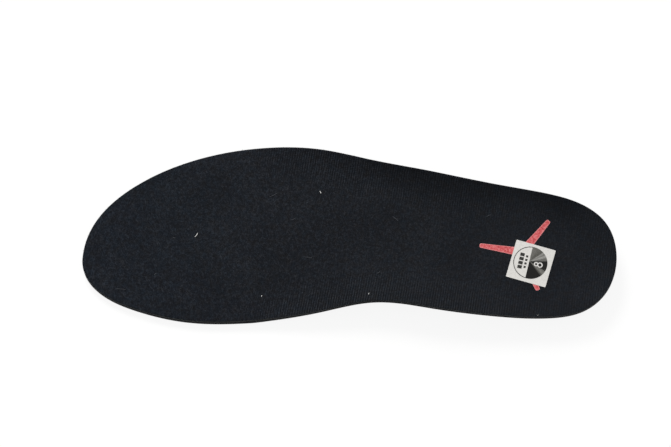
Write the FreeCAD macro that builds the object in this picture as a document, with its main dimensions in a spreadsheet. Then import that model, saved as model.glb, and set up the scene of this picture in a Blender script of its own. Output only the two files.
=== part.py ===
import FreeCAD, Part
import Sketcher
import math
import os

# A moulded, die-cut insole for a right shoe, seen with the toe at -X, the heel at +X, the outer
# (lateral) edge at +Y and the arch at -Y. It rests on z = 0. Millimetres and degrees throughout.
#
# The foam is pressed to shape together with the cloth and is then cut upright through a die, so
# every layer is the same die outline between two copies of one freeform surface.

# name, value, what it sets
DRIVING_SIZES = (
    ("length", 266.0, "toe tip to heel tip"),
    ("ball_width", 91.2, "widest place, across the ball of the foot"),
    ("waist_width", 76.5, "narrowest place, at the arch"),
    ("heel_width", 70.0, "across the front of the heel seat"),
    ("toe_swing", -12.0, "toe tip, off the long axis"),
    ("heel_swing", -15.0, "heel tip, off the long axis"),
    ("forefoot_foam", 3.6, "foam thickness under the ball and toes"),
    ("arch_foam", 4.9, "foam thickness in the middle of the arch"),
    ("heel_foam", 5.6, "foam thickness under the heel"),
    ("ball_rim", 4.8, "foam height at the edge beside the ball"),
    ("lateral_rim", 9.2, "foam height at the outer edge of the midfoot"),
    ("arch_rim", 15.0, "foam height at the edge of the arch"),
    ("heel_rim", 12.2, "foam height round the heel cup"),
    ("ball_slope", 16.0, "how far in the rise of the edge reaches at the ball"),
    ("lateral_slope", 19.0, "the same at the outer edge of the midfoot"),
    ("arch_slope", 33.0, "the same at the arch"),
    ("heel_slope", 22.0, "the same round the heel cup"),
    ("edge_foam", 2.4, "foam thickness left at a raised edge"),
    ("keel_drop", 3.0, "depth under the table of the underside surface at an edge that isn't raised"),
    ("keel_fade", 2.0, "rise of the edge over which that drop fades"),
    ("keel_depth", 4.0, "deepest that surface runs under the table"),
    ("glue_film", 0.15, "hot-melt film under the cloth"),
    ("cloth", 0.8, "top cloth"),
    ("heel_pad_inset", 17.5, "edge of the heel seat to the side of the heel cushion"),
    ("heel_pad_spacing", 26.0, "between the centres of the cushion's round ends"),
    ("heel_pad_depth", 2.6, "thickness of the heel cushion"),
    ("heel_pad_from_heel", 41.0, "heel tip to the middle of the heel cushion"),
    ("heel_pad_across", -10.0, "middle of the heel cushion, across the insole"),
    ("heel_pad_turn", -9.0, "the heel lies askew to the insole's length"),
    ("ball_pad_radius", 26.0, "round ends of the forefoot cushion"),
    ("ball_pad_inset", 8.25, "sides of the insole at the ball to the ends of the cushion"),
    ("ball_pad_depth", 1.6, "thickness of the forefoot cushion"),
    ("ball_pad_ahead", 6.4, "middle of the forefoot cushion, ahead of the widest place"),
    ("ball_pad_across", 0.0, "middle of the forefoot cushion, across the insole"),
    ("ball_pad_turn", 72.0, "it follows the line of the toe joints"),
    ("pad_glue", 0.15, "glue film above each cushion"),
    ("pad_clearance", 0.3, "gap round each cushion in its pocket"),
    ("mark_film", 0.08, "heat-transfer film of the heel mark"),
    ("mark_from_heel", 46.3, "heel tip to the hub of the heel mark"),
    ("mark_across", -10.4, "hub of the heel mark, across the insole"),
    ("mark_turn", 50.0, "direction of the first arm"),
    ("mark_reach", 21.5, "hub to the end of each arm"),
    ("mark_root", 4.6, "width of an arm at the hub"),
    ("mark_end", 2.2, "width of an arm at its end"),
    ("label_side", 20.3, "square paper sticker"),
    ("label_corner", 0.4, "rounding of its die-cut corners"),
    ("label_paper", 0.1, "paper of the sticker"),
    ("label_glue", 0.05, "its adhesive"),
    ("label_ink", 0.03, "printed ink"),
    ("label_from_heel", 42.1, "heel tip to the middle of the sticker"),
    ("label_across", -16.4, "middle of the sticker, across the insole"),
    ("label_turn", -16.9, "it is stuck on askew"),
    ("print_ahead", 0.25, "the print sits this much nearer to the toe than the paper's middle"),
    ("print_aside", 0.36, "and this much nearer to the outer side"),
    ("print_turn", 2.5, "the print is turned a little on its paper"),
    ("disc_margin", 1.65, "side of the sticker to the printed disc"),
)

# The artwork inside the printed disc grows with it, so its sizes are shares of the disc's radius.
ARTWORK_SHARES = (
    ("disc_split", 0.083, "middle of the disc to the edge of its dark half"),
    ("ring_line", 0.04, "line round the unfilled half of the disc"),
    ("figure_place", 0.46, "middle of the disc to the middle of the size figure"),
    ("figure_upper", 0.135, "outer radius of the small loop of the figure"),
    ("figure_lower", 0.165, "outer radius of the large loop"),
    ("figure_stroke", 0.07, "line width of the figure"),
    ("bar_length", 0.2, "printed bars in the unfilled half, along the row"),
    ("bar_pitch", 0.26, "from one bar to the next"),
    ("bar_width", 0.26, "across the bold row"),
    ("bar_row", -0.56, "middle of the disc to the middle of the bold row"),
    ("dash_length", 0.13, "the same for the fine row"),
    ("dash_pitch", 0.225, "from one dash to the next"),
    ("dash_width", 0.13, "across the fine row"),
    ("dash_row", -0.27, "middle of the disc to the middle of the fine row"),
)

# The die outline at shares of the length: the width that it belongs to, the share of that width,
# and how far its middle lies off the long axis (mm), because a foot curves inwards.
BALL_LINE = 0.34
STATIONS = (
    (0.030, "ball_width", 0.425, -8.1),
    (0.100, "ball_width", 0.718, -4.5),
    (0.200, "ball_width", 0.925, -1.3),
    (BALL_LINE, "ball_width", 1.000, 2.3),
    (0.450, "waist_width", 1.130, 3.1),
    (0.545, "waist_width", 1.000, 1.7),
    (0.655, "heel_width", 1.055, -3.3),
    (0.770, "heel_width", 1.010, -8.3),
    (0.865, "heel_width", 0.945, -11.3),
    (0.940, "heel_width", 0.787, -12.7),
    (0.980, "heel_width", 0.526, -12.5),
)

# What varies along the insole: share of the length, then the size that holds there.
FOAM_ALONG = ((0, "forefoot_foam"), (0.38, "forefoot_foam"), (0.6, "arch_foam"), (0.85, "heel_foam"),
              (1, "heel_foam"))
LATERAL_RIM = ((0, "forefoot_foam"), (0.2, "forefoot_foam"), (0.36, "ball_rim"), (0.6, "lateral_rim"),
               (0.8, "lateral_rim"), (1, "heel_rim"))
MEDIAL_RIM = ((0, "forefoot_foam"), (0.2, "forefoot_foam"), (0.34, "ball_rim"), (0.6, "arch_rim"),
              (0.85, "heel_rim"), (1, "heel_rim"))
LATERAL_SLOPE = ((0, "ball_slope"), (0.36, "ball_slope"), (0.6, "lateral_slope"), (1, "heel_slope"))
MEDIAL_SLOPE = ((0, "ball_slope"), (0.3, "ball_slope"), (0.6, "arch_slope"), (0.85, "heel_slope"),
                (1, "heel_slope"))

KEEL_FALL = 0.25  # steady fall of the underside surface away from a raised edge, mm per mm
MOULD_MARGIN = 14.0  # the freeform surfaces run this far past the die outline
MOULD_STEP = 6.5  # spacing of the points that shape them
STOCK = 40.0  # height of the tools that cut the layers, over any rim

doc = FreeCAD.newDocument("Insole")
sheet = doc.addObject("Spreadsheet::Sheet", "Sizes")
size = {}
for row, (name, value, meaning) in enumerate(DRIVING_SIZES + ARTWORK_SHARES, start=1):
    sheet.set(f"A{row}", meaning)
    sheet.set(f"B{row}", str(value))
    sheet.setAlias(f"B{row}", name)
    size[name] = value
doc.recompute()

Z_AXIS = FreeCAD.Vector(0, 0, 1)
TOE = -size["length"] / 2
HEEL = size["length"] / 2


def smooth(profile, share):
    """Value at a share of the length, on a smooth curve through a profile's named sizes."""
    knots = [(at, size[name]) for at, name in profile]
    slopes = []
    for i in range(len(knots)):
        before = knots[max(i - 1, 0)]
        after = knots[min(i + 1, len(knots) - 1)]
        slopes.append((after[1] - before[1]) / (after[0] - before[0]))
    share = min(max(share, knots[0][0]), knots[-1][0])
    i = max(k for k in range(len(knots) - 1) if knots[k][0] <= share)
    gap = knots[i + 1][0] - knots[i][0]
    u = (share - knots[i][0]) / gap
    start = (1 + 2 * u) * (1 - u) ** 2 * knots[i][1] + u * (1 - u) ** 2 * gap * slopes[i]
    end = u * u * (3 - 2 * u) * knots[i + 1][1] - u * u * (1 - u) * gap * slopes[i + 1]
    return start + end


def outline_curve():
    """Closed curve through the stations, along the outer edge to the heel and back along the arch."""
    outer, inner = [], []
    for along, width, share, swing in STATIONS:
        x = TOE + along * size["length"]
        half = share * size[width] / 2
        outer.append(FreeCAD.Vector(x, swing + half, 0))
        inner.append(FreeCAD.Vector(x, swing - half, 0))
    toe = FreeCAD.Vector(TOE, size["toe_swing"], 0)
    heel = FreeCAD.Vector(HEEL, size["heel_swing"], 0)
    curve = Part.BSplineCurve()
    curve.interpolate(Points=[toe, *outer, heel, *reversed(inner)], PeriodicFlag=True)
    middle = curve.toShape().optimalBoundingBox(False).Center
    curve.translate(-middle)
    return curve


outline = outline_curve()
heel_parameter = outline.parameter(FreeCAD.Vector(HEEL, 0, 0))


def edge_facts(point):
    """How far a point lies inside the outline, and the foam, rim and slope sizes that hold there."""
    parameter = outline.parameter(point)
    nearest = outline.value(parameter)
    inwards = Z_AXIS.cross(outline.tangent(parameter)[0]) * -1
    inside = (point - nearest).dot(inwards)
    share = (nearest.x - TOE) / size["length"]
    outer_side = parameter < heel_parameter
    rim = smooth(LATERAL_RIM if outer_side else MEDIAL_RIM, share)
    slope = smooth(LATERAL_SLOPE if outer_side else MEDIAL_SLOPE, share)
    edge = smooth(FOAM_ALONG, share)
    foam = smooth(FOAM_ALONG, (point.x - TOE) / size["length"])
    return inside, foam, rim - edge, slope


def rise_share(inside, slope):
    """Share of the edge's rise at a place: 1 at the edge, fading to 0 at the end of the slope."""
    u = inside / slope
    if u < 0:
        return 1 - 2 * u
    return max(1 - u, 0) ** 2


def crown_height(point):
    """Height of the foam's upper side."""
    inside, foam, rise, slope = edge_facts(point)
    return foam + rise * rise_share(inside, slope)


def keel_height(point):
    """Height of the surface that lifts the foam's underside off the table at a raised edge."""
    inside, foam, rise, slope = edge_facts(point)
    drop = size["keel_drop"] * math.exp(-max(rise, 0) / size["keel_fade"])
    lift = foam + rise - size["edge_foam"] - drop
    height = lift * rise_share(inside, slope) - KEEL_FALL * inside
    if height < 0:
        height = size["keel_depth"] * math.tanh(height / size["keel_depth"])
    return height


def mould_face(label, height):
    """A freeform face over the whole insole, through a grid of points at the heights of a formula."""
    half = outline.toShape().optimalBoundingBox(False).YMax + MOULD_MARGIN
    reach = HEEL + MOULD_MARGIN
    columns = math.ceil(2 * reach / MOULD_STEP)
    rows = math.ceil(2 * half / MOULD_STEP)
    grid = []
    for i in range(columns + 1):
        x = -reach + 2 * reach * i / columns
        line = []
        for j in range(rows + 1):
            flat = FreeCAD.Vector(x, -half + 2 * half * j / rows, 0)
            line.append(flat + Z_AXIS * height(flat))
        grid.append(line)
    surface = Part.BSplineSurface()
    surface.interpolate(grid)
    feature = doc.addObject("Part::Feature", label)
    feature.Shape = surface.toShape()
    return feature


def layer(label, base, start, end):
    """Slab between two copies of a mould face; start and end are heights over it, as expressions."""
    slab = doc.addObject("Part::Extrusion", label)
    slab.Base = base
    slab.DirMode = "Custom"
    slab.Dir = Z_AXIS
    slab.setExpression("LengthFwd", end)
    slab.setExpression("LengthRev", f"-({start})")
    return slab


def common(label, *shapes):
    """What several solids share."""
    result = doc.addObject("Part::MultiCommon", label)
    result.Shapes = list(shapes)
    return result


def cut(label, base, tool):
    """One solid with another taken away."""
    result = doc.addObject("Part::Cut", label)
    result.Base = base
    result.Tool = tool
    return result


def new_body(label, x, y, turn):
    """An empty body at a place and an angle on the insole; x, y and turn are expressions."""
    body = doc.addObject("PartDesign::Body", label)
    body.Placement.Rotation.Axis = Z_AXIS
    body.setExpression("Placement.Base.x", x)
    body.setExpression("Placement.Base.y", y)
    body.setExpression("Placement.Rotation.Angle", turn)
    return body


def new_sketch(body, label):
    """A sketch on a body's own XY plane."""
    sketch = body.newObject("Sketcher::SketchObject", label)
    plane = next(part for part in body.Origin.OriginFeatures if part.Role == "XY_Plane")
    sketch.AttachmentSupport = [(plane, "")]
    sketch.MapMode = "FlatFace"
    return sketch


def bind(sketch, kind, arguments, expression):
    """A sketch dimension that follows an expression."""
    index = sketch.addConstraint(Sketcher.Constraint(kind, *arguments, 1.0))
    sketch.setExpression(f"Constraints[{index}]", expression)


def add_circle(sketch, radius, x="0 mm"):
    """A circle on the sketch's X axis; radius and x are expressions."""
    circle = sketch.addGeometry(Part.Circle(FreeCAD.Vector(1, 0, 0), Z_AXIS, 1))
    sketch.addConstraint(Sketcher.Constraint("PointOnObject", circle, 3, -1))
    bind(sketch, "Radius", (circle,), radius)
    bind(sketch, "DistanceX", (-1, 1, circle, 3), x)
    return circle


def add_rectangle(sketch, x_low, x_high, y_low, y_high):
    """A rectangle whose sides lie at four expressions."""
    corners = [FreeCAD.Vector(x, y, 0) for x, y in ((1, 1), (2, 1), (2, 2), (1, 2))]
    lines = [
        sketch.addGeometry(Part.LineSegment(corners[i], corners[(i + 1) % 4])) for i in range(4)
    ]
    for i in range(4):
        sketch.addConstraint(Sketcher.Constraint("Coincident", lines[i], 2, lines[(i + 1) % 4], 1))
        direction = "Horizontal" if i % 2 == 0 else "Vertical"
        sketch.addConstraint(Sketcher.Constraint(direction, lines[i]))
    bind(sketch, "DistanceX", (-1, 1, lines[0], 1), x_low)
    bind(sketch, "DistanceX", (-1, 1, lines[0], 2), x_high)
    bind(sketch, "DistanceY", (-1, 1, lines[0], 1), y_low)
    bind(sketch, "DistanceY", (-1, 1, lines[2], 1), y_high)


def pad(body, sketch, height):
    """Pad a sketch upwards to a height given as an expression."""
    feature = body.newObject("PartDesign::Pad", f"{body.Label}_pad")
    feature.Profile = sketch
    feature.setExpression("Length", height)
    sketch.Visibility = False
    return feature


def rounded_pad(label, radius, spacing, height, x, y, turn):
    """A body with straight sides and round ends, such as a cushion or the pocket for it."""
    body = new_body(label, x, y, turn)
    sketch = new_sketch(body, f"{label}_sketch")
    ends = []
    for side in (1, -1):
        start = math.radians(-90 * side)
        circle = Part.Circle(FreeCAD.Vector(10 * side, 0, 0), Z_AXIS, 8)
        ends.append(sketch.addGeometry(Part.ArcOfCircle(circle, start, start + math.pi)))
        sketch.addConstraint(Sketcher.Constraint("PointOnObject", ends[-1], 3, -1))
    top = sketch.addGeometry(Part.LineSegment(FreeCAD.Vector(10, 8, 0), FreeCAD.Vector(-10, 8, 0)))
    low = sketch.addGeometry(Part.LineSegment(FreeCAD.Vector(-10, -8, 0), FreeCAD.Vector(10, -8, 0)))
    sketch.addConstraint(Sketcher.Constraint("Tangent", ends[0], 2, top, 1))
    sketch.addConstraint(Sketcher.Constraint("Tangent", top, 2, ends[1], 1))
    sketch.addConstraint(Sketcher.Constraint("Tangent", ends[1], 2, low, 1))
    sketch.addConstraint(Sketcher.Constraint("Tangent", low, 2, ends[0], 1))
    sketch.addConstraint(Sketcher.Constraint("Equal", ends[0], ends[1]))
    bind(sketch, "Radius", (ends[0],), radius)
    bind(sketch, "DistanceX", (-1, 1, ends[0], 3), f"({spacing}) / 2")
    bind(sketch, "DistanceX", (ends[1], 3, -1, 1), f"({spacing}) / 2")
    pad(body, sketch, height)
    return body


# --- the moulded, die-cut layers ---

die_line = doc.addObject("Part::Feature", "die_line")
die_line.Shape = Part.Wire(outline.toShape())
die = doc.addObject("Part::Extrusion", "die")
die.Base = die_line
die.DirMode = "Custom"
die.Dir = Z_AXIS
die.LengthFwd = STOCK
die.Solid = True

crown = mould_face("crown", crown_height)
keel = mould_face("keel", keel_height)
under_crown = layer("under_crown", crown, f"-{STOCK} mm", "0 mm")
over_keel = layer("over_keel", keel, "0 mm", f"{2 * STOCK} mm")
foam_blank = common("foam_blank", die, under_crown, over_keel)

film_layer = layer("film_layer", crown, "0 mm", "Sizes.glue_film")
cloth_layer = layer("cloth_layer", crown, "Sizes.glue_film", "Sizes.glue_film + Sizes.cloth")
cloth_adhesive = common("cloth_adhesive", die, film_layer)
top_cloth = common("top_cloth", die, cloth_layer)

# --- cushions let into the underside, each under its own glue film ---


def cushion(label, name, radius, spacing, x):
    """A cushion, the film over it and the pocket for both, from one set of sizes."""
    place = (x, f"Sizes.{name}_across", f"Sizes.{name}_turn")
    depth = f"Sizes.{name}_depth"
    both = f"{depth} + Sizes.pad_glue"
    pad_body = rounded_pad(label, radius, spacing, depth, *place)
    stack = rounded_pad(f"{label}_stack", radius, spacing, both, *place)
    film = cut(f"{label}_adhesive", stack, pad_body)
    pocket = rounded_pad(f"{label}_pocket", f"{radius} + Sizes.pad_clearance", spacing, both, *place)
    return pad_body, film, pocket


heel_cushion, heel_cushion_adhesive, heel_pocket = cushion(
    "heel_cushion",
    "heel_pad",
    "Sizes.heel_width / 2 - Sizes.heel_pad_inset",
    "Sizes.heel_pad_spacing",
    "Sizes.length / 2 - Sizes.heel_pad_from_heel",
)
forefoot_cushion, forefoot_cushion_adhesive, forefoot_pocket = cushion(
    "forefoot_cushion",
    "ball_pad",
    "Sizes.ball_pad_radius",
    "Sizes.ball_width - 2 * (Sizes.ball_pad_inset + Sizes.ball_pad_radius)",
    f"({BALL_LINE} - 0.5) * Sizes.length - Sizes.ball_pad_ahead",
)
foam_with_heel_pocket = cut("foam_with_heel_pocket", foam_blank, heel_pocket)
foam_footbed = cut("foam_footbed", foam_with_heel_pocket, forefoot_pocket)

# --- the film mark on the heel: three equal tapered arms about a hub ---

mark_base = "Sizes.glue_film + Sizes.cloth"
mark_body = new_body(
    "mark_shape", "Sizes.length / 2 - Sizes.mark_from_heel", "Sizes.mark_across", "Sizes.mark_turn"
)
mark_sketch = new_sketch(mark_body, "mark_sketch")
arm_corners = [FreeCAD.Vector(x, y, 0) for x, y in ((0, 2), (20, 1), (20, -1), (0, -2))]
arm = [
    mark_sketch.addGeometry(Part.LineSegment(arm_corners[i], arm_corners[(i + 1) % 4]))
    for i in range(4)
]
for i in range(4):
    mark_sketch.addConstraint(Sketcher.Constraint("Coincident", arm[i], 2, arm[(i + 1) % 4], 1))
mark_sketch.addConstraint(Sketcher.Constraint("PointOnObject", arm[0], 1, -2))
mark_sketch.addConstraint(Sketcher.Constraint("Symmetric", arm[0], 1, arm[3], 1, -1))
mark_sketch.addConstraint(Sketcher.Constraint("Symmetric", arm[0], 2, arm[1], 2, -1))
bind(mark_sketch, "DistanceX", (-1, 1, arm[0], 2), "Sizes.mark_reach")
bind(mark_sketch, "DistanceY", (arm[3], 1, arm[0], 1), "Sizes.mark_root")
bind(mark_sketch, "DistanceY", (arm[1], 2, arm[0], 2), "Sizes.mark_end")
arm_pad = pad(mark_body, mark_sketch, f"{STOCK} mm")
doc.recompute()
arms = mark_body.newObject("PartDesign::PolarPattern", "mark_arms")
arms.Originals = [arm_pad]
arms.Axis = (next(part for part in mark_body.Origin.OriginFeatures if part.Role == "Z_Axis"), [""])
arms.Angle = 360
arms.Occurrences = 3
mark_body.Tip = arms
mark_layer = layer("mark_layer", crown, mark_base, f"{mark_base} + Sizes.mark_film")
heel_mark = common("heel_mark", mark_body, mark_layer)

# --- the sticker and its print ---

label_place = (
    "Sizes.length / 2 - Sizes.label_from_heel",
    "Sizes.label_across",
    "Sizes.label_turn",
)
glue_base = f"{mark_base} + Sizes.mark_film"
paper_base = f"{glue_base} + Sizes.label_glue"
ink_base = f"{paper_base} + Sizes.label_paper"
half_side = "Sizes.label_side / 2"
disc_radius = f"({half_side} - Sizes.disc_margin)"
print_place = (
    "Sizes.length / 2 - Sizes.label_from_heel - Sizes.print_ahead",
    "Sizes.label_across + Sizes.print_aside",
    "Sizes.label_turn + Sizes.print_turn",
)


def artwork(name):
    """A size of the artwork, as an expression: its share of the disc's radius."""
    return f"{disc_radius} * Sizes.{name}"


label_shape = new_body("label_shape", *label_place)
label_sketch = new_sketch(label_shape, "label_sketch")
add_rectangle(label_sketch, f"-{half_side}", half_side, f"-{half_side}", half_side)
label_pad = pad(label_shape, label_sketch, f"{STOCK} mm")
doc.recompute()
upright = [
    f"Edge{i}"
    for i, edge in enumerate(label_pad.Shape.Edges, start=1)
    if abs(edge.tangentAt(edge.FirstParameter).z) > 0.9
]
corners = label_shape.newObject("PartDesign::Fillet", "label_corners")
corners.Base = (label_pad, upright)
corners.setExpression("Radius", "Sizes.label_corner")

glue_layer = layer("glue_layer", crown, glue_base, paper_base)
paper_layer = layer("paper_layer", crown, paper_base, ink_base)
ink_layer = layer("ink_layer", crown, ink_base, f"{ink_base} + Sizes.label_ink")
label_adhesive = common("label_adhesive", label_shape, glue_layer)
size_label = common("size_label", label_shape, paper_layer)


def half_disc_sketch(body, label, side):
    """Part of the printed disc: side 1 is the dark one towards the heel, -1 the other."""
    sketch = new_sketch(body, label)
    start = math.radians(-90 * side)
    circle = Part.Circle(FreeCAD.Vector(0, 0, 0), Z_AXIS, 8)
    arc = sketch.addGeometry(Part.ArcOfCircle(circle, start, start + math.pi))
    ends = [FreeCAD.Vector(0, 8 * side, 0), FreeCAD.Vector(0, -8 * side, 0)]
    line = sketch.addGeometry(Part.LineSegment(*ends))
    sketch.addConstraint(Sketcher.Constraint("Coincident", arc, 3, -1, 1))
    sketch.addConstraint(Sketcher.Constraint("Coincident", arc, 2, line, 1))
    sketch.addConstraint(Sketcher.Constraint("Coincident", line, 2, arc, 1))
    for end in (1, 2):
        bind(sketch, "DistanceX", (arc, end, -1, 1), artwork("disc_split"))
    bind(sketch, "Radius", (arc,), disc_radius)
    return sketch


# The figure is two loops cut out of the dark half, the small one towards the toe.
loop_gap = f"{disc_radius} * (Sizes.figure_upper + Sizes.figure_lower - Sizes.figure_stroke) / 2"
disc_shape = new_body("disc_shape", *print_place)
pad(disc_shape, half_disc_sketch(disc_shape, "disc_sketch", 1), f"{STOCK} mm")
doc.recompute()
for name, sign in (("figure_upper", "-"), ("figure_lower", "+")):
    loop_sketch = new_sketch(disc_shape, f"{name}_sketch")
    loop_centre = f"{artwork('figure_place')} {sign} {loop_gap}"
    add_circle(loop_sketch, artwork(name), loop_centre)
    add_circle(loop_sketch, f"{artwork(name)} - {artwork('figure_stroke')}", loop_centre)
    loop = disc_shape.newObject("PartDesign::Pocket", f"{name}_pocket")
    loop.Profile = loop_sketch
    loop.Type = "ThroughAll"
    loop.Reversed = True
    doc.recompute()
label_disc = common("label_disc", disc_shape, ink_layer)

ring_outer = new_body("ring_outer", *print_place)
pad(ring_outer, half_disc_sketch(ring_outer, "ring_outer_sketch", -1), f"{STOCK} mm")
ring_inner = new_body("ring_inner", *print_place)
ring_sketch = new_sketch(ring_inner, "ring_inner_sketch")
add_circle(ring_sketch, f"{disc_radius} - {artwork('ring_line')}")
pad(ring_inner, ring_sketch, f"{STOCK} mm")
ring_shape = cut("ring_shape", ring_outer, ring_inner)
label_ring = common("label_ring", ring_shape, ink_layer)

bar_shape = new_body("bar_shape", *print_place)
bar_sketch = new_sketch(bar_shape, "bar_sketch")
for kind in ("bar", "dash"):
    row, across = artwork(f"{kind}_row"), f"{artwork(f'{kind}_width')} / 2"
    half = f"{artwork(f'{kind}_length')} / 2"
    for place in (-1.5, -0.5, 0.5, 1.5):
        middle = f"{place} * {artwork(f'{kind}_pitch')}"
        sides = (f"{row} - {across}", f"{row} + {across}", f"{middle} - {half}", f"{middle} + {half}")
        add_rectangle(bar_sketch, *sides)
pad(bar_shape, bar_sketch, f"{STOCK} mm")
label_bars = common("label_bars", bar_shape, ink_layer)

sub_parts = (
    top_cloth,
    cloth_adhesive,
    foam_footbed,
    heel_cushion,
    heel_cushion_adhesive,
    forefoot_cushion,
    forefoot_cushion_adhesive,
    heel_mark,
    label_adhesive,
    size_label,
    label_disc,
    label_ring,
    label_bars,
)

doc.recompute()
for item in doc.Objects:
    if "Invalid" in item.State or "Error" in item.State:
        raise RuntimeError(f"{item.Label} did not build: {item.State}")
for part in sub_parts:
    if part.Shape.isNull() or not part.Shape.isValid() or not part.Shape.Solids:
        raise RuntimeError(f"{part.Label} has no valid solid")

os.makedirs("parts", exist_ok=True)
for part in sub_parts:
    part.Shape.exportStep(f"parts/{part.Label}.step")
    box = part.Shape.optimalBoundingBox(False)
    print(f"{part.Label}: {len(part.Shape.Solids)} solid(s), {part.Shape.Volume:.1f} mm3, "
          f"x {box.XMin:.1f} to {box.XMax:.1f}, y {box.YMin:.1f} to {box.YMax:.1f}, "
          f"z {box.ZMin:.2f} to {box.ZMax:.2f}")
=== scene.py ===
import math
import random

import bmesh
import bpy
from mathutils import Matrix, Vector, noise
from mathutils.bvhtree import BVHTree
from mathutils.kdtree import KDTree


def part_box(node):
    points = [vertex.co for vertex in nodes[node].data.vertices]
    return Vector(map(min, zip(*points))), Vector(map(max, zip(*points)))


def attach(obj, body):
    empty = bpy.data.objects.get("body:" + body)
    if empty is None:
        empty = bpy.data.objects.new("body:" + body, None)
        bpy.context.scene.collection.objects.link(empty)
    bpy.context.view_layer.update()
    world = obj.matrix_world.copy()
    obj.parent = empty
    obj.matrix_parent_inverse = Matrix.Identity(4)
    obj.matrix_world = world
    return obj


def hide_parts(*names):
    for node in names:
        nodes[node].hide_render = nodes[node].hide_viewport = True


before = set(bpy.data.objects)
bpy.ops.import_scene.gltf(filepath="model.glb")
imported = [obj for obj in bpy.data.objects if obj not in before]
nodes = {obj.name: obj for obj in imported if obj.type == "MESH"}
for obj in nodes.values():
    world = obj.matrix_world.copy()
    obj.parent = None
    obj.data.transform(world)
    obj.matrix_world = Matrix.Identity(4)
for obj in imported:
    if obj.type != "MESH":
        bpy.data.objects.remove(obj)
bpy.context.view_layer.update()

mm = 0.001
facing = 0.2  # how far a face has to look up or down to belong to the top or the underside
crease = 38  # degrees, the turn past which an edge stays sharp


# small helpers

def linear(code):
    # sRGB hex to the linear colour that a shader wants
    parts = [int(code[k:k + 2], 16) / 255 for k in (1, 3, 5)]
    parts = [c / 12.92 if c <= 0.04045 else ((c + 0.055) / 1.055) ** 2.4 for c in parts]
    return (*parts, 1.0)


def addNode(tree, kind, settings=None, links=None):
    # settings are properties, inputs by name or number, or the stops of a ramp
    node = tree.nodes.new("ShaderNode" + kind)
    for name, value in (settings or {}).items():
        if name == "stops":
            elements = node.color_ramp.elements
            while len(elements) < len(value):
                elements.new(0.5)
            for element, (at, colour) in zip(elements, value):
                element.position = at
                element.color = colour
        elif isinstance(name, str) and hasattr(node, name):
            setattr(node, name, value)
        else:
            node.inputs[name].default_value = value
    for name, source in (links or {}).items():
        socket = source.outputs[0] if isinstance(source, bpy.types.Node) else source
        tree.links.new(socket, node.inputs[name])
    return node


def newMaterial(name, surface):
    # a material with one Principled shader, and the tree to add its pattern to
    material = bpy.data.materials.new(name)
    material.use_nodes = True
    tree = material.node_tree
    tree.nodes.clear()
    shader = addNode(tree, "BsdfPrincipled", surface)
    addNode(tree, "OutputMaterial", links={"Surface": shader})
    return material, tree, shader


def grain(size):
    # Noise and Voronoi scale for features of this many millimetres
    return 1 / (size * mm)


def bands(size):
    # Wave scale for bands this many millimetres apart
    return 2 * math.pi / 20 / (size * mm)


def shade(level):
    # a grey stop of a ramp
    return (level, level, level, 1.0)


def toned(colour, share):
    # the same hue at a share of its strength
    return (*(part * share for part in colour[:3]), 1.0)


def ramp(value, start, end):
    # 0 before start and 1 after end, both in millimetres, with a soft step between
    share = min(1.0, max(0.0, (value / mm - start) / (end - start)))
    return share * share * (3 - 2 * share)


def place(name, mesh, materials, body="root"):
    # a finished bmesh as a smooth object that rides on its body
    data = bpy.data.meshes.new(name)
    mesh.to_mesh(data)
    mesh.free()
    for material in materials:
        data.materials.append(material)
    data.shade_smooth()
    data.set_sharp_from_angle(angle=math.radians(crease))
    piece = bpy.data.objects.new(name, data)
    bpy.context.scene.collection.objects.link(piece)
    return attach(piece, body)


def planFace(node):
    # the plan of a node as one flat face
    flat = bmesh.new()
    flat.from_mesh(nodes[node].data)
    bmesh.ops.remove_doubles(flat, verts=flat.verts, dist=0.001 * mm)
    flat.normal_update()
    unseen = [face for face in flat.faces if face.normal.z < facing]
    bmesh.ops.delete(flat, geom=unseen, context="FACES")
    bmesh.ops.scale(flat, vec=(1, 1, 0), verts=flat.verts)
    bmesh.ops.dissolve_faces(flat, faces=flat.faces)
    return flat


def finerOutline(mesh, step, rounds):
    # more points along the outline, eased into one smooth line
    for edge in list(mesh.edges):
        cuts = int(edge.calc_length() / step)
        if cuts:
            bmesh.ops.subdivide_edges(mesh, edges=[edge], cuts=cuts)
    for turn in range(rounds):
        bmesh.ops.smooth_vert(mesh, verts=mesh.verts, factor=0.5,
                              use_axis_x=True, use_axis_y=True, use_axis_z=False)


def cutAcross(mesh, faces, axis, step):
    # parallel cuts, a step apart, through the faces given
    reach = [v.co[axis] for face in faces for v in face.verts]
    direction = Vector((axis == 0, axis == 1, 0))
    for turn in range(math.floor(min(reach) / step) + 1, math.ceil(max(reach) / step)):
        at = turn * step
        edges = {edge for face in faces for edge in face.edges}
        verts = {vert for face in faces for vert in face.verts}
        cut = bmesh.ops.bisect_plane(mesh, geom=[*faces, *edges, *verts], dist=1e-7,
                                     plane_co=direction * at, plane_no=direction)
        faces = [part for part in cut["geom"] if isinstance(part, bmesh.types.BMFace)
                 and max(v.co[axis] for v in part.verts) > at + 1e-6]


def gridOver(mesh, rim, step):
    # a border strip of one width, and a square grid inside it
    strip = mesh.faces.layers.int.new("strip")
    border = bmesh.ops.inset_region(mesh, faces=mesh.faces[:], thickness=rim,
                                    use_boundary=True, use_even_offset=True)["faces"]
    for face in border:
        face[strip] = 1
    for axis in (1, 0):
        cutAcross(mesh, [face for face in mesh.faces if not face[strip]], axis, step)
    inner = [v for v in mesh.verts if not v.is_boundary]
    bmesh.ops.remove_doubles(mesh, verts=inner, dist=0.22 * step)


def skin(node, side):
    # what a ray from above (side 1) or below (side -1) meets on a node
    shell = bmesh.new()
    shell.from_mesh(nodes[node].data)
    shell.normal_update()
    unseen = [face for face in shell.faces if face.normal.z * side < facing]
    bmesh.ops.delete(shell, geom=unseen, context="FACES")
    tree = BVHTree.FromBMesh(shell)
    shell.free()
    return tree


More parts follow.
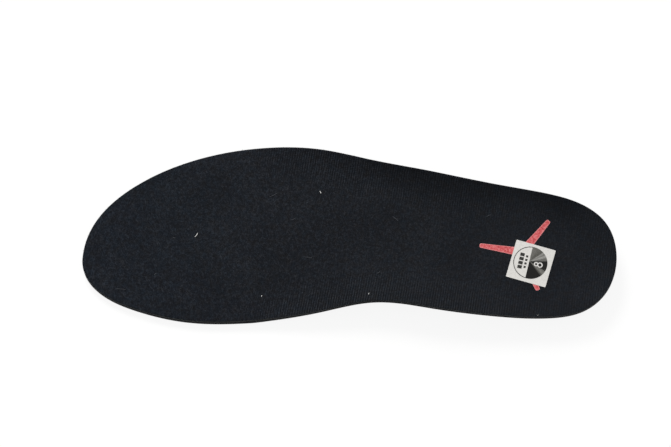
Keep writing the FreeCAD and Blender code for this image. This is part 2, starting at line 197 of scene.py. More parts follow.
def settle(verts, tree, side):
    # each point goes straight down (or up) onto the surface; where its ray goes past the
    # outline, a spot slightly nearer the middle is tried
    middle = sum((v.co for v in verts), Vector()) / len(verts)
    for vert in verts:
        for pull in (0, 0.0004, 0.001, 0.003, 0.01):
            spot = vert.co.lerp(middle, pull)
            hit = tree.ray_cast(Vector((spot.x, spot.y, side)), Vector((0, 0, -side)), 2)[0]
            if hit:
                break
        vert.co.z = hit.z if hit else tree.find_nearest(vert.co)[0].z


def easeHeights(mesh, rounds):
    # takes the facets out of the heights, edges left alone
    inner = [v for v in mesh.verts if not v.is_boundary]
    for turn in range(rounds):
        bmesh.ops.smooth_vert(mesh, verts=inner, factor=0.5,
                              use_axis_x=False, use_axis_y=False, use_axis_z=True)


def thicken(mesh):
    # a second layer joined by walls; gives back the new layer's points
    grown = bmesh.ops.extrude_face_region(mesh, geom=mesh.faces[:], use_keep_orig=True)
    return [part for part in grown["geom"] if isinstance(part, bmesh.types.BMVert)]


def close(mesh):
    # no slivers, no points that only split an edge, and every face pointing out
    bmesh.ops.remove_doubles(mesh, verts=mesh.verts, dist=0.002 * mm)
    bmesh.ops.dissolve_degenerate(mesh, edges=mesh.edges, dist=0.001 * mm)
    idle = [vert for vert in mesh.verts if len(vert.link_edges) == 2]
    bmesh.ops.dissolve_verts(mesh, verts=idle)
    bmesh.ops.recalc_face_normals(mesh, faces=mesh.faces)
    mesh.normal_update()


def rimEdges(mesh, sides=(1,)):
    # the edges between a wall and the top (1) or the bottom (-1)
    level, upright = 0.55, 0.3  # what a normal's height says of a face
    found = []
    for edge in mesh.edges:
        if len(edge.link_faces) == 2:
            first, second = sorted(face.normal.z for face in edge.link_faces)
            if 1 in sides and second > level and -upright < first < upright:
                found.append(edge)
            if -1 in sides and first < -level and -upright < second < upright:
                found.append(edge)
    return found


def roundEdges(mesh, edges, radius, segments):
    bmesh.ops.bevel(mesh, geom=edges, offset=radius, segments=segments, affect="EDGES",
                    profile=0.5, material=-1, clamp_overlap=True)


# camera

cameraSet = {
    "aim": (-6.5, 7.25, 0.0), "elevation": 70, "distance": 1200, "lens": 127.6, "sensor": 36,
    "near": 50, "far": 20000,
}
print("camera")
tilt = math.radians(cameraSet["elevation"])
aim = Vector(cameraSet["aim"]) * mm
back = Vector((0, -math.cos(tilt), math.sin(tilt)))
camera = bpy.data.objects.new("camera", bpy.data.cameras.new("camera"))
bpy.context.scene.collection.objects.link(camera)
camera.location = aim + back * cameraSet["distance"] * mm
camera.rotation_euler = (-back).to_track_quat("-Z", "Y").to_euler()
camera.data.lens = cameraSet["lens"]
camera.data.sensor_width = cameraSet["sensor"]
camera.data.clip_start = cameraSet["near"] * mm
camera.data.clip_end = cameraSet["far"] * mm
bpy.context.scene.camera = camera


# light and floor

lightSet = {
    "sky": 0.42,
    "key": {"from": (-0.45, 1.05, 1.2), "size": 0.7, "watts": 17.5, "colour": "#FFFEFB"},
    "fill": {"from": (0.7, -0.9, 1.2), "size": 1.2, "watts": 3.0, "colour": "#FAFBFF"},
}
floorSet = {  # drop and contact in mm, clear and gone in m from the middle
    "size": 4, "drop": 0.05, "contact": 0.5, "card": "#E8E8E8", "cardSeen": "#707070",
    "glow": 0.87, "clear": 0.35, "gone": 0.95,
}


def seenRays(tree):
    # 1 where the eye sees it, straight, in a gloss or through something clear
    rays = addNode(tree, "LightPath")
    seen = addNode(tree, "Math", {"operation": "MAXIMUM"},
                   {0: rays.outputs["Is Camera Ray"], 1: rays.outputs["Is Glossy Ray"]})
    seen = addNode(tree, "Math", {"operation": "MAXIMUM"},
                   {0: seen, 1: rays.outputs["Is Transmission Ray"]})
    return rays, seen


print("light and floor")
bpy.context.scene.view_settings.view_transform = "Standard"

world = bpy.data.worlds.new("studio")
bpy.context.scene.world = world
world.use_nodes = True
sky = world.node_tree
sky.nodes.clear()
rays, seen = seenRays(sky)
strength = addNode(sky, "MapRange", {"To Min": lightSet["sky"], "To Max": 1.0}, {"Value": seen})
backdrop = addNode(sky, "Background", {"Color": shade(1.0)}, {"Strength": strength})
addNode(sky, "OutputWorld", links={"Surface": backdrop})

for name in ("key", "fill"):
    lampSet = lightSet[name]
    lamp = bpy.data.lights.new(name, "AREA")
    lamp.shape = "DISK"
    lamp.size = lampSet["size"]
    lamp.energy = lampSet["watts"]
    lamp.color = linear(lampSet["colour"])[:3]
    holder = bpy.data.objects.new(name, lamp)
    holder.location = lampSet["from"]
    holder.rotation_euler = (-holder.location).to_track_quat("-Z", "Y").to_euler()
    bpy.context.scene.collection.objects.link(holder)

floorMesh = bmesh.new()
# a hair below the foam, so that the two faces never share one plane
bmesh.ops.create_grid(floorMesh, x_segments=1, y_segments=1, size=floorSet["size"],
                      matrix=Matrix.Translation((0, 0, -floorSet["drop"] * mm)))
floorData = bpy.data.meshes.new("floor")
floorMesh.to_mesh(floorData)
floorMesh.free()
floor = bpy.data.objects.new("floor", floorData)
bpy.context.scene.collection.objects.link(floor)
# white card that glows a little for the camera, so a soft shadow still shows on it;
# far out it turns into the white around it, and from below it is clear
paperBoard = bpy.data.materials.new("white card floor")
paperBoard.use_nodes = True
card = paperBoard.node_tree
card.nodes.clear()
rays, seen = seenRays(card)
tone = addNode(card, "Mix", {"data_type": "RGBA", 6: linear(floorSet["card"]),
                             7: linear(floorSet["cardSeen"])}, {0: seen})
matt = addNode(card, "BsdfDiffuse", links={"Color": tone.outputs[2]})
level = addNode(card, "Math", {"operation": "MULTIPLY", 1: floorSet["glow"]}, {0: seen})
glow = addNode(card, "Emission", {"Color": shade(1.0)}, {"Strength": level})
near = addNode(card, "AddShader", links={0: matt, 1: glow})
white = addNode(card, "Emission", {"Color": shade(1.0)}, {"Strength": seen})
spot = addNode(card, "TexCoord")
outwards = addNode(card, "VectorMath", {"operation": "LENGTH"}, {0: spot.outputs["Object"]})
far = addNode(card, "MapRange", {"interpolation_type": "SMOOTHSTEP",
                                 "From Min": floorSet["clear"], "From Max": floorSet["gone"]},
              {"Value": outwards.outputs["Value"]})
away = addNode(card, "Math", {"operation": "MULTIPLY"}, {0: far, 1: seen})
wide = addNode(card, "MixShader", links={0: away, 1: near, 2: white})
# light also comes up through it to the foam that lies on it, which is only seen from below
touching = addNode(card, "Math", {"operation": "LESS_THAN", 1: floorSet["contact"] * mm},
                   {0: rays.outputs["Ray Length"]})
touching = addNode(card, "Math", {"operation": "MULTIPLY"},
                   {0: touching, 1: rays.outputs["Is Diffuse Ray"]})
side = addNode(card, "NewGeometry")
clearAway = addNode(card, "Math", {"operation": "MAXIMUM"},
                    {0: touching, 1: side.outputs["Backfacing"]})
under = addNode(card, "BsdfTransparent")
whole = addNode(card, "MixShader", links={0: clearAway, 1: wide, 2: under})
addNode(card, "OutputMaterial", links={"Surface": whole})
floorData.materials.append(paperBoard)


# brushed polyester tricot, dyed black: a short, matted nap in all directions, and under it
# the ridges of the loops, which show most towards the cut edge of the waist and heel

knitSet = {
    # dark, middle and light tones, and where they stand
    # the edge tones are the knit darkened further, painted shade on its upright cut sides
    "face": ("#111316", "#1D1F23", "#3D4045"), "edge": ("#07070A", "#0D0E10", "#1A1B1D"),
    "stops": (0.36, 0.58, 0.86),
    # casts along the foot, from 0 at the toe to 1 at the heel, and tints of mixed filaments
    "cast": ((0.10, "#F2F9FF"), (0.38, "#F8F8F9"), (0.60, "#F0F0F0"), (0.95, "#F6F6F5")),
    "tints": ((0.3, "#FFF7F2"), (0.5, "#FAFBFF"), (0.7, "#EAF5FF")), "halfLength": 133,
    # loops: spacing in mm, turn, how wavy they are, and the courses' share
    "wale": 1.2, "course": 0.9, "turn": 9.6, "waleWave": 1.4, "courseWave": 1.8,
    "courseShare": 0.3, "ridgeMiddle": 0.65, "ridge": 0.23,
    "worn": ((0.28, 0.05), (0.45, 1.0), (0.72, 0.8), (0.86, 0.3)),
    # fibres: turn, width and length of each layer
    "fibres": ((8, 0.36, 1.9), (-28, 0.34, 1.5), (52, 0.36, 1.3), (-72, 0.32, 1.1)),
    "napMiddle": 0.6, "flatFrom": -10, "flatTo": 90, "flatShare": 0.5,
    "clump": 1.3, "clumpShare": 0.34, "matted": 2.4, "mattedRange": (0.36, 0.62),
    "mattedShares": (0.35, 1.75), "hidden": 0.55,
    "patch": 26.0, "patchShare": 0.12, "ground": 0.54, "tint": 2.6,
    # band is how dark the painted shade along the outer rim gets
    "roughness": 0.96, "specular": 0.05, "sheen": 0.08, "sheenTint": "#8B8D90", "band": 0.66,
    "bump": 0.6, "relief": 0.35,
}


def knitPattern(tree, knit):
    # the loops: ridges (wales) across the foot, and the courses that cross them
    where = addNode(tree, "TexCoord")
    turned = addNode(tree, "Mapping", {"Rotation": (0, 0, math.radians(knit["turn"]))},
                     {"Vector": where.outputs["Object"]})
    wales = addNode(tree, "TexWave", {"wave_type": "BANDS", "bands_direction": "X",
                                      "Scale": bands(knit["wale"]),
                                      "Distortion": knit["waleWave"],
                                      "Detail": 2.0, "Detail Scale": 1.2},
                    {"Vector": turned})
    loops = addNode(tree, "TexWave", {"wave_type": "BANDS", "bands_direction": "Y",
                                      "Scale": bands(knit["course"]),
                                      "Distortion": knit["courseWave"],
                                      "Detail": 2.0, "Detail Scale": 2.0},
                    {"Vector": turned})
    ridges = addNode(tree, "Math", {"operation": "MULTIPLY_ADD", 1: knit["courseShare"]},
                     {0: loops.outputs["Fac"], 2: wales.outputs["Fac"]})
    return where, ridges


def napPattern(tree, where, knit):
    # matted fibres: streaks of noise laid in several directions, the upper ones showing
    top = None
    for turn, width, length in knit["fibres"]:
        laid = addNode(tree, "Mapping", {"vector_type": "TEXTURE",
                                         "Rotation": (0, 0, math.radians(turn)),
                                         "Scale": (1, length / width, 1)},
                       {"Vector": where.outputs["Object"]})
        streaks = addNode(tree, "TexNoise", {"Scale": grain(width), "Detail": 2.0,
                                             "Roughness": 0.55, "Distortion": 0.5},
                          {"Vector": laid})
        top = streaks if top is None else addNode(tree, "Math", {"operation": "MAXIMUM"},
                                                  {0: top, 1: streaks})
    return top


def makeKnit(name, knit, colours, loopShare):
    material, tree, shader = newMaterial(name, {
        "Roughness": knit["roughness"], "Specular IOR Level": knit["specular"],
        "Sheen Weight": knit["sheen"], "Sheen Roughness": 0.5,
        "Sheen Tint": linear(knit["sheenTint"])})
    where, ridges = knitPattern(tree, knit)
    nap = napPattern(tree, where, knit)
    clump = addNode(tree, "TexNoise", {"Scale": grain(knit["clump"]), "Detail": 3.0,
                                       "Roughness": 0.6},
                    {"Vector": where.outputs["Object"]})
    patch = addNode(tree, "TexNoise", {"Scale": grain(knit["patch"]), "Detail": 3.0},
                    {"Vector": where.outputs["Object"]})
    # how much the ridges show: near the edge of the waist, less on the forefoot and heel
    split = addNode(tree, "SeparateXYZ", links={0: where.outputs["Object"]})
    along = split.outputs["X"]
    length = addNode(tree, "MapRange", {"From Min": -knit["halfLength"] * mm,
                                        "From Max": knit["halfLength"] * mm},
                     {"Value": along})
    worn = addNode(tree, "ValToRGB", {"stops": [
        (at, shade(level)) for at, level in knit["worn"]]}, {0: length})
    edge = addNode(tree, "Attribute", {"attribute_name": "nearEdge"})
    shown = addNode(tree, "MapRange", {"From Min": 0.1, "From Max": 0.9,
                                       "To Min": 0.10 * loopShare, "To Max": loopShare},
                    {"Value": edge.outputs["Fac"]})
    shown = addNode(tree, "Math", {"operation": "MULTIPLY"}, {0: shown, 1: worn})
    # patches of matted fibres break the ridges up, and they are fainter in the band of painted
    # shade
    band = addNode(tree, "Attribute", {"attribute_name": "darkBand"})
    hidden = addNode(tree, "Math", {"operation": "MULTIPLY_ADD", 1: -knit["hidden"], 2: 1.0},
                     {0: band.outputs["Fac"]})
    matted = addNode(tree, "TexNoise", {"Scale": grain(knit["matted"]), "Detail": 2.0},
                     {"Vector": where.outputs["Object"]})
    broken = addNode(tree, "MapRange", {
        "From Min": knit["mattedRange"][0], "From Max": knit["mattedRange"][1],
        "To Min": knit["mattedShares"][0], "To Max": knit["mattedShares"][1]},
        {"Value": matted})
    shown = addNode(tree, "Math", {"operation": "MULTIPLY"}, {0: shown, 1: hidden})
    shown = addNode(tree, "Math", {"operation": "MULTIPLY"}, {0: shown, 1: broken})
    centred = addNode(tree, "Math", {"operation": "SUBTRACT", 1: knit["ridgeMiddle"]},
                      {0: ridges})
    raised = addNode(tree, "Math", {"operation": "MULTIPLY"}, {0: centred, 1: shown})
    clumps = addNode(tree, "Math", {"operation": "MULTIPLY_ADD", 1: knit["clumpShare"],
                                    2: -knit["clumpShare"] / 2}, {0: clump})
    fluff = addNode(tree, "Math", {"operation": "ADD"}, {0: nap, 1: clumps})
    # the nap is flatter, so more even, towards the heel
    fluff = addNode(tree, "Math", {"operation": "SUBTRACT", 1: knit["napMiddle"]}, {0: fluff})
    rough = addNode(tree, "MapRange", {
        "From Min": knit["flatFrom"] * mm, "From Max": knit["flatTo"] * mm,
        "To Min": 1.0, "To Max": knit["flatShare"]}, {"Value": along})
    fluff = addNode(tree, "Math", {"operation": "MULTIPLY"}, {0: fluff, 1: rough})
    level = addNode(tree, "Math", {"operation": "MULTIPLY_ADD", 1: knit["ridge"]},
                    {0: raised, 2: fluff})
    patches = addNode(tree, "Math", {"operation": "MULTIPLY_ADD", 1: knit["patchShare"],
                                     2: knit["ground"]}, {0: patch})
    level = addNode(tree, "Math", {"operation": "ADD"}, {0: level, 1: patches})
    colour = addNode(tree, "ValToRGB", {"stops": [
        (at, linear(code)) for at, code in zip(knit["stops"], colours)]}, {0: level})
    tint = addNode(tree, "TexNoise", {"Scale": grain(knit["tint"]), "Detail": 2.0},
                   {"Vector": where.outputs["Object"]})
    tints = addNode(tree, "ValToRGB", {"stops": [
        (at, linear(code)) for at, code in knit["tints"]]}, {0: tint})
    mixed = addNode(tree, "Mix", {"data_type": "RGBA", "blend_type": "MULTIPLY", 0: 1.0},
                    {6: colour, 7: tints})
    # a slightly colder cast at the toe, and a touch deeper in the waist
    cast = addNode(tree, "ValToRGB", {"stops": [
        (at, linear(code)) for at, code in knit["cast"]]}, {0: length})
    mixed = addNode(tree, "Mix", {"data_type": "RGBA", "blend_type": "MULTIPLY", 0: 1.0},
                    {6: mixed.outputs[2], 7: cast})
    # painted shade: a darker band along the outer side, where the raised rim slopes away from
    # the light
    shadeTone = addNode(tree, "Mix", {"data_type": "RGBA", 6: shade(1.0), 7: shade(knit["band"])},
                  {0: band.outputs["Fac"]})
    mixed = addNode(tree, "Mix", {"data_type": "RGBA", "blend_type": "MULTIPLY", 0: 1.0},
                    {6: mixed.outputs[2], 7: shadeTone.outputs[2]})
    tree.links.new(mixed.outputs[2], shader.inputs["Base Color"])
    height = addNode(tree, "Math", {"operation": "MULTIPLY_ADD", 1: 0.5},
                     {0: raised, 2: level})
    bump = addNode(tree, "Bump", {"Strength": knit["bump"], "Distance": knit["relief"] * mm},
                   {"Height": height})
    tree.links.new(bump.outputs[0], shader.inputs["Normal"])
    return material


# moulded and cut EVA foam

foamSet = {
    # colour, width of a cell in mm, roughness, specular level, depth of the relief in mm
    "skin": ("#1D1F22", 0.9, 0.72, 0.3, 0.10),
    # the cut sides are darker than the skin as painted shade
    "cut": ("#121315", 0.45, 0.95, 0.12, 0.14),
    "soft": ("#4A4D53", 0.35, 0.95, 0.15, 0.12),
    # pit: how dark the painted shade in the pits is
    "cloud": 14, "clouds": (0.78, 1.35), "pit": 0.72, "bump": 0.5,
}


def makeFoam(name, colour, cell, roughness, specular, depth):
    # closed-cell foam: small pits in an even, slightly waxy face, with painted shade in the
    # pits
    material, tree, shader = newMaterial(name, {
        "Roughness": roughness, "Specular IOR Level": specular})
    where = addNode(tree, "TexCoord")
    cells = addNode(tree, "TexVoronoi", {"Scale": grain(cell), "Randomness": 1.0},
                    {"Vector": where.outputs["Object"]})
    cloud = addNode(tree, "TexNoise", {"Scale": grain(cell * foamSet["cloud"]),
                                       "Detail": 4.0},
                    {"Vector": where.outputs["Object"]})
    tone = linear(colour)
    tones = addNode(tree, "ValToRGB", {"stops": [
        (0.3, toned(tone, foamSet["clouds"][0])), (0.55, tone),
        (0.8, toned(tone, foamSet["clouds"][1]))]}, {0: cloud.outputs[0]})
    # painted shade: the pits are darker in colour
    pits = addNode(tree, "ValToRGB", {"stops": [
        (0.1, shade(foamSet["pit"])), (0.45, shade(1.0))]}, {0: cells.outputs["Distance"]})
    pitted = addNode(tree, "Mix", {"data_type": "RGBA", "blend_type": "MULTIPLY", 0: 1.0},
                     {6: tones, 7: pits})
    tree.links.new(pitted.outputs[2], shader.inputs["Base Color"])
    bump = addNode(tree, "Bump", {"Strength": foamSet["bump"], "Distance": depth * mm},
                   {"Height": cells.outputs["Distance"]})
    tree.links.new(bump.outputs[0], shader.inputs["Normal"])
    return material


def makeFilm(name, colour, roughness, specular, lump):
    # a thin glue or print layer, a little lumpy
    material, tree, shader = newMaterial(name, {
        "Roughness": roughness, "Specular IOR Level": specular})
    where = addNode(tree, "TexCoord")
    lumps = addNode(tree, "TexNoise", {"Scale": grain(lump), "Detail": 3.0},
                    {"Vector": where.outputs["Object"]})
    tone = linear(colour)
    tones = addNode(tree, "ValToRGB", {"stops": [
        (0.3, toned(tone, 0.82)), (0.7, tone)]}, {0: lumps.outputs[0]})
    tree.links.new(tones.outputs[0], shader.inputs["Base Color"])
    bump = addNode(tree, "Bump", {"Strength": 0.4, "Distance": 0.05 * mm},
                   {"Height": lumps.outputs[0]})
    tree.links.new(bump.outputs[0], shader.inputs["Normal"])
    return material


print("top cloth")
clothSet = {
    "step": 1.0, "rim": 1.1, "thickness": 0.8, "edge": 0.28, "wave": 0.10, "waveLength": 7.0,
    "edgeReach": 24.0, "upright": 0.35,
    # the band of painted shade along the rim: how far in it goes, where along X it starts and
    # stops, and its share on the inner side
    "bandReach": 16.0, "bandFrom": (-48.0, 24.0), "bandTo": (104.0, 130.0), "innerShare": 0.3,
}
knitFace = makeKnit("brushed polyester tricot", knitSet, knitSet["face"], 1.0)
# a darker copy of the knit for the upright sides: painted shade
shadedKnitEdge = makeKnit("cut edge of the tricot with painted shade", knitSet, knitSet["edge"], 0.0)
cloth = planFace("top_cloth")
finerOutline(cloth, clothSet["step"] * mm, 3)
gridOver(cloth, clothSet["rim"] * mm, clothSet["step"] * mm)
border = KDTree(len(cloth.verts))
for index, vert in enumerate(cloth.verts):
    if vert.is_boundary:
        border.insert(vert.co, index)
border.balance()
nearEdge = cloth.verts.layers.float.new("nearEdge")
# painted shade along the rim, fading inwards, full on the outer side and weaker on the inner
darkBand = cloth.verts.layers.float.new("darkBand")
for vert in cloth.verts:
    nearest, index, inward = border.find(vert.co)
    vert[nearEdge] = max(0.0, 1.0 - inward / (clothSet["edgeReach"] * mm))
    starts = ramp(vert.co.x, *clothSet["bandFrom"])
    ends = 1.0 - ramp(vert.co.x, *clothSet["bandTo"])
    laid = 1.0 if nearest.y > 0 else clothSet["innerShare"]
    vert[darkBand] = laid * starts * ends * (
        1.0 - ramp(inward, 0.0, clothSet["bandReach"]))
settle(cloth.verts[:], skin("top_cloth", 1), 1)
easeHeights(cloth, 5)
for vert in cloth.verts:
    # shallow dips where the nap was pressed
    dip = noise.noise(vert.co / (clothSet["waveLength"] * mm))
    vert.co.z -= clothSet["wave"] * mm * (0.5 + 0.5 * dip) + clothSet["thickness"] * mm
above = thicken(cloth)
bmesh.ops.translate(cloth, vec=(0, 0, clothSet["thickness"] * mm), verts=above)
close(cloth)
# the upright sides take the darker copy of the knit, painted shade
for face in cloth.faces:
    if abs(face.normal.z) < clothSet["upright"]:
        face.material_index = 1
roundEdges(cloth, rimEdges(cloth), clothSet["edge"] * mm, 2)
close(cloth)
topCloth = place("top_cloth_knit", cloth, [knitFace, shadedKnitEdge])
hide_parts("top_cloth")

print("foam footbed")
bedSet = {"step": 1.25, "rim": 1.0, "bottomEdge": 0.6}
skinFoam = makeFoam("moulded EVA foam skin", *foamSet["skin"])
shadedCutFoam = makeFoam("die-cut EVA foam with painted shade", *foamSet["cut"])
bed = planFace("foam_footbed")
finerOutline(bed, bedSet["step"] * mm, 3)
gridOver(bed, bedSet["rim"] * mm, bedSet["step"] * mm)
settle(bed.verts[:], skin("foam_footbed", -1), -1)
easeHeights(bed, 3)
below = set(bed.verts)
above = thicken(bed)
settle(above, skin("foam_footbed", 1), 1)
# the sides take the darker cut foam, painted shade
for face in bed.faces:
    # the die cuts straight down from the upper outline to the start of the moulded side
    face.material_index = len({vert in below for vert in face.verts}) - 1
close(bed)
roundEdges(bed, rimEdges(bed, (-1,)), bedSet["bottomEdge"] * mm, 3)
close(bed)
footbed = place("foam_footbed_moulded", bed, [skinFoam, shadedCutFoam])
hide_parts("foam_footbed")

print("cushions")
cushionSet = {
    "heel_cushion": {"step": 1.2, "rim": 0.9, "edge": 0.45},
    "forefoot_cushion": {"step": 1.5, "rim": 0.8, "edge": 0.35},
}
openFoam = makeFoam("soft polyurethane foam", *foamSet["soft"])
for name, padSet in cushionSet.items():
    pad = planFace(name)
    finerOutline(pad, padSet["step"] * mm, 2)
    gridOver(pad, padSet["rim"] * mm, padSet["step"] * mm)
    settle(pad.verts[:], skin(name, -1), -1)
    above = thicken(pad)
    settle(above, skin(name, 1), 1)
    close(pad)
    roundEdges(pad, rimEdges(pad, (1, -1)), padSet["edge"] * mm, 3)
    close(pad)
    cushion = place(name + "_pad", pad, [openFoam])
    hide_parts(name)

print("glue films")
glueSet = {  # material, colour, roughness, specular level, width of a lump in mm
    "cloth_adhesive": ("hot-melt copolyester film", "#2A2B2D", 0.45, 0.4, 2.0),
    "heel_cushion_adhesive": ("dried contact cement", "#8D7B4E", 0.5, 0.4, 1.2),
    "forefoot_cushion_adhesive": ("dried contact cement", "#8D7B4E", 0.5, 0.4, 1.2),
    "label_adhesive": ("acrylic sticker glue", "#C9C6BC", 0.35, 0.5, 1.5),
}
for name, finish in glueSet.items():
    glue = makeFilm(*finish)
    for socket in nodes[name].material_slots:
        socket.material = glue


# heat-transfer film, red: matt, pressed into the knit, with a painted highlight along its edge

markSet = {
    # the pale tone serves the mottle and the painted highlight along the edge
    "body": "#D2575B", "paleAndHighlight": "#E89A9A", "deep": "#A93A3E", "rimHighlight": 0.85, "mottle": 0.9,
    "roughness": 0.62, "specular": 0.3, "relief": 0.1,
    "rim": 0.45, "step": 0.6, "thickness": 0.09,
}


def makeTransfer(mark, knit):
    material, tree, shader = newMaterial("polyurethane heat-transfer film", {
        "Roughness": mark["roughness"], "Specular IOR Level": mark["specular"]})
    where, ridges = knitPattern(tree, knit)
    mottle = addNode(tree, "TexNoise", {"Scale": grain(mark["mottle"]), "Detail": 3.0,
                                        "Roughness": 0.6},
                     {"Vector": where.outputs["Object"]})
    tones = addNode(tree, "ValToRGB", {"stops": [
        (0.3, linear(mark["deep"])), (0.5, linear(mark["body"])),
        (0.75, linear(mark["paleAndHighlight"]))]}, {0: mottle.outputs[0]})
    # painted highlight: the film's outline is mixed towards the pale tone
    rim = addNode(tree, "Attribute", {"attribute_name": "rim"})
    soft = addNode(tree, "Math", {"operation": "MULTIPLY", 1: mark["rimHighlight"]},
                   {0: rim.outputs["Fac"]})
    highlighted = addNode(tree, "Mix", {"data_type": "RGBA", 7: linear(mark["paleAndHighlight"])},
                    {0: soft, 6: tones})
    tree.links.new(highlighted.outputs[2], shader.inputs["Base Color"])
    bump = addNode(tree, "Bump", {"Strength": 0.4, "Distance": mark["relief"] * mm},
                   {"Height": ridges})
    tree.links.new(bump.outputs[0], shader.inputs["Normal"])
    return material


print("heel mark")
film = planFace("heel_mark")
finerOutline(film, markSet["step"] * mm, 2)
gridOver(film, markSet["rim"] * mm, markSet["step"] * mm)
settle(film.verts[:], skin("heel_mark", 1), 1)
easeHeights(film, 2)
# the outline, where the painted highlight goes
highlightLayer = film.verts.layers.float.new("rim")
for vert in film.verts:
    vert[highlightLayer] = 1.0 if vert.is_boundary else 0.0
bmesh.ops.translate(film, vec=(0, 0, -markSet["thickness"] * mm), verts=film.verts)
above = thicken(film)
bmesh.ops.translate(film, vec=(0, 0, markSet["thickness"] * mm), verts=above)
close(film)
heelMark = place("heel_mark_film", film, [makeTransfer(markSet, knitSet)])
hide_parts("heel_mark")


# the printed paper sticker

labelSet = {
    "paper": "#E4E2DE", "roughness": 0.55, "specular": 0.35, "fibre": 0.8,
    # material, colour, roughness, specular level, width of a lump in mm
    "label_ring": ("printed line ink", "#10100E", 0.6, 0.15, 0.7),
    "label_bars": ("printed bar ink", "#343432", 0.6, 0.15, 0.5),
    # the streaks of the half disc, a painted sheen on the black print: turn, where they meet
    # (mm from the middle), tones
    "turn": -14.4, "fan": (-0.6, 1.1), "shaken": 0.03, "grit": 0.35,
    "rays": ((0.26, "#0E0D0C"), (0.395, "#100F0D"), (0.418, "#6A6964"), (0.440, "#8A8984"),
             (0.462, "#1C1B18"), (0.548, "#100F0D"), (0.568, "#7C7B77"), (0.58, "#5B5A56"),
             (0.602, "#A9A8A4"), (0.62, "#7B7A76"), (0.64, "#A09F9B"), (0.657, "#5A5954"),
             (0.74, "#73726D")),
}


def makePaper(label):
    # clay-coated paper: nearly even white with soft fibre clouds
    material, tree, shader = newMaterial("coated label paper", {
        "Roughness": label["roughness"], "Specular IOR Level": label["specular"]})
    where = addNode(tree, "TexCoord")
    fibres = addNode(tree, "TexNoise", {"Scale": grain(label["fibre"]), "Detail": 4.0},
                     {"Vector": where.outputs["Object"]})
    tone = linear(label["paper"])
    tones = addNode(tree, "ValToRGB", {"stops": [
        (0.32, toned(tone, 0.9)), (0.62, tone)]}, {0: fibres.outputs[0]})
    tree.links.new(tones.outputs[0], shader.inputs["Base Color"])
    bump = addNode(tree, "Bump", {"Strength": 0.2, "Distance": 0.03 * mm},
                   {"Height": fibres.outputs[0]})
    tree.links.new(bump.outputs[0], shader.inputs["Normal"])
    return material


def makeDiscInkAndSheen(label):
    # solid black print with pale streaks that fan out from one point, a painted sheen of the
    # silver ink
    material, tree, shader = newMaterial("printed black and silver ink with painted sheen", {
        "Roughness": 0.6, "Specular IOR Level": 0.15})
    low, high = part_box("size_label")
    middle = (low + high) / 2
    where = addNode(tree, "TexCoord")
    centred = addNode(tree, "Mapping", {
        "vector_type": "TEXTURE", "Rotation": (0, 0, math.radians(label["turn"])),
        "Location": (middle.x + label["fan"][0] * mm, middle.y + label["fan"][1] * mm, 0)},
        {"Vector": where.outputs["Object"]})
    fan = addNode(tree, "TexGradient", {"gradient_type": "RADIAL"}, {"Vector": centred})
    streak = addNode(tree, "TexNoise", {"noise_dimensions": "1D", "Scale": 60.0, "Detail": 2.0},
                     {"W": fan})
    shaken = addNode(tree, "Math", {"operation": "MULTIPLY_ADD", 1: label["shaken"]},
                     {0: streak, 2: fan})
    rays = addNode(tree, "ValToRGB", {"stops": [
        (at, linear(code)) for at, code in label["rays"]]}, {0: shaken})
    grit = addNode(tree, "TexNoise", {"Scale": grain(label["grit"]), "Detail": 2.0},
                   {"Vector": where.outputs["Object"]})
    specks = addNode(tree, "ValToRGB", {"stops": [(0.3, shade(0.6)), (0.6, shade(1.0))]},
                     {0: grit})
    printed = addNode(tree, "Mix", {"data_type": "RGBA", "blend_type": "MULTIPLY", 0: 1.0},
                      {6: rays, 7: specks})
    tree.links.new(printed.outputs[2], shader.inputs["Base Color"])
    return material


print("label")
paper = makePaper(labelSet)
discInkAndSheen = makeDiscInkAndSheen(labelSet)
for socket in nodes["label_disc"].material_slots:
    socket.material = discInkAndSheen
for socket in nodes["size_label"].material_slots:
    socket.material = paper
for name in ("label_ring", "label_bars"):
    ink = makeFilm(*labelSet[name])
    for socket in nodes[name].material_slots:
        socket.material = ink


# lint on the nap, and fibres that stick out of the cut edge

lintSet = {
    "cotton": [  # place across the insole (mm), turn, length, thickness, bend
        ((-76.2, -0.6), 52, 2.4, 0.18, 10), ((-14.2, 22.3), 115, 1.3, 0.20, 8),
        ((-43.3, -32.6), 80, 0.8, 0.14, 0), ((10.2, -34.9), 60, 0.8, 0.14, 0),
        ((93.0, -46.9), 20, 0.9, 0.06, 10)],
    "dust": [
        ((70.3, 9.2), 45, 2.8, 0.15, -55), ((-37.6, 20.8), 25, 5.0, 0.13, 12),
        ((-28.0, 7.6), 10, 2.2, 0.15, 30), ((-87.4, -2.0), 150, 1.4, 0.17, 20),
        ((-96.3, -21.2), 40, 1.2, 0.17, 0), ((-113.4, -29.0), 170, 5.0, 0.13, 14),
        ((-20.3, -12.4), 165, 4.2, 0.14, 18), ((14.8, -21.2), 20, 2.0, 0.15, 30),
        ((23.5, 7.9), 135, 3.6, 0.14, 14)],
    "lies": 0.6, "sides": 6, "joints": 5,
    # material, colour, roughness, specular level, width of a lump in mm
    "materials": (("cotton lint", "#E9E9E6", 0.95, 0.1, 0.4),
                  ("grey dust fibre", "#4C4F54", 0.95, 0.1, 0.4)),
}
fraySet = {  # sizes in mm, curl in degrees
    "count": 170, "step": 1.0, "length": (0.3, 0.85), "radius": 0.04, "depth": (0.1, 0.6),
    "root": 0.15, "lean": 1.4, "lift": (-0.3, 0.5), "curl": 70, "sides": 3, "joints": 3,
}


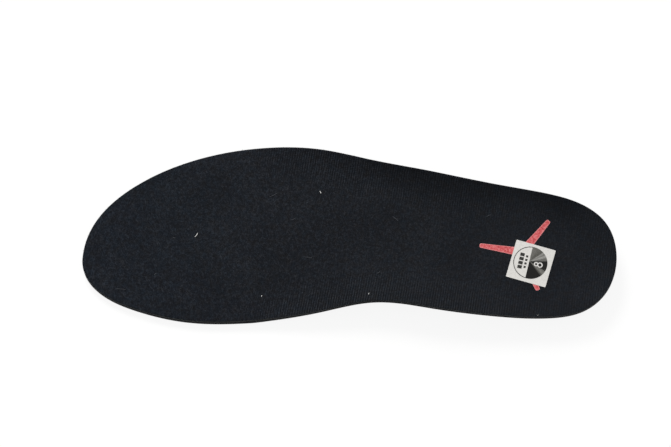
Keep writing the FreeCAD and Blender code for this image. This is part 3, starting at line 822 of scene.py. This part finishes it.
def addFibre(mesh, at, direction, length, radius, bend, sides, joints):
    # a thin strand grown from a small ring, bending as it goes
    turned = direction.to_track_quat("Z", "Y").to_matrix().to_4x4()
    ring = bmesh.ops.create_circle(mesh, cap_ends=True, segments=sides, radius=radius,
                                   matrix=Matrix.Translation(at) @ turned)["verts"]
    face = next(iter(ring[0].link_faces))
    axis = direction.cross(Vector((0, 0, 1)))
    axis = Vector((0, 0, 1)) if axis.length < 0.5 else axis
    heading = direction.copy()
    for turn in range(joints):
        grown = bmesh.ops.extrude_face_region(mesh, geom=[face])["geom"]
        if turn:  # the first face stays as the end cap, the later ones would be walls inside
            bmesh.ops.delete(mesh, geom=[face], context="FACES_ONLY")
        ring = [part for part in grown if isinstance(part, bmesh.types.BMVert)]
        face = next(part for part in grown if isinstance(part, bmesh.types.BMFace))
        bmesh.ops.translate(mesh, vec=heading * length / joints, verts=ring)
        spin = Matrix.Rotation(math.radians(bend) / joints, 3, Vector((0, 0, 1)))
        heading = spin @ heading
        middle = sum((v.co for v in ring), Vector()) / len(ring)
        bmesh.ops.rotate(mesh, cent=middle, matrix=spin, verts=ring)
    bmesh.ops.scale(mesh, vec=(0.5, 0.5, 0.5), verts=ring,
                    space=Matrix.Translation(-sum((v.co for v in ring), Vector()) / len(ring)))


print("lint")
clothTop = skin("top_cloth", 1)
lint = bmesh.new()
for kind, name in enumerate(("cotton", "dust")):
    before = set(lint.faces)
    for (x, y), turn, length, thick, bend in lintSet[name]:
        spot = clothTop.find_nearest(Vector((x * mm, y * mm, 0.01)))[0]
        spot.z += lintSet["lies"] * thick * mm
        heading = Vector((math.cos(math.radians(turn)), math.sin(math.radians(turn)), 0))
        addFibre(lint, spot - heading * length * mm / 2, heading, length * mm, thick * mm,
                 bend, lintSet["sides"], lintSet["joints"])
    for face in set(lint.faces) - before:
        face.material_index = kind
close(lint)
lintPiece = place("lint_fibres", lint, [makeFilm(*finish) for finish in lintSet["materials"]])

print("cut edge fibres")
random.seed(7)
fray = bmesh.new()
outline = planFace("top_cloth")
finerOutline(outline, fraySet["step"] * mm, 2)
outer = outline.verts[:]
for turn in range(fraySet["count"]):
    vert = random.choice(outer)
    others = [edge.other_vert(vert).co for edge in vert.link_edges]
    along = (others[0] - others[1]).normalized()
    out = along.cross(Vector((0, 0, 1)))
    if out.dot(vert.co) < 0:
        out = -out
    spot = clothTop.find_nearest(Vector((vert.co.x, vert.co.y, 0.01)))[0]
    spot.z -= random.uniform(*fraySet["depth"]) * mm
    heading = (out + along * random.uniform(-fraySet["lean"], fraySet["lean"])).normalized()
    heading.z = random.uniform(*fraySet["lift"])
    heading.normalize()
    addFibre(fray, spot - heading * fraySet["root"] * mm, heading,
             random.uniform(*fraySet["length"]) * mm, fraySet["radius"] * mm,
             random.uniform(-fraySet["curl"], fraySet["curl"]),
             fraySet["sides"], fraySet["joints"])
outline.free()
close(fray)
# the fibres take the darker copy of the knit too, painted shade
frayPiece = place("cut_edge_fibres", fray, [shadedKnitEdge])
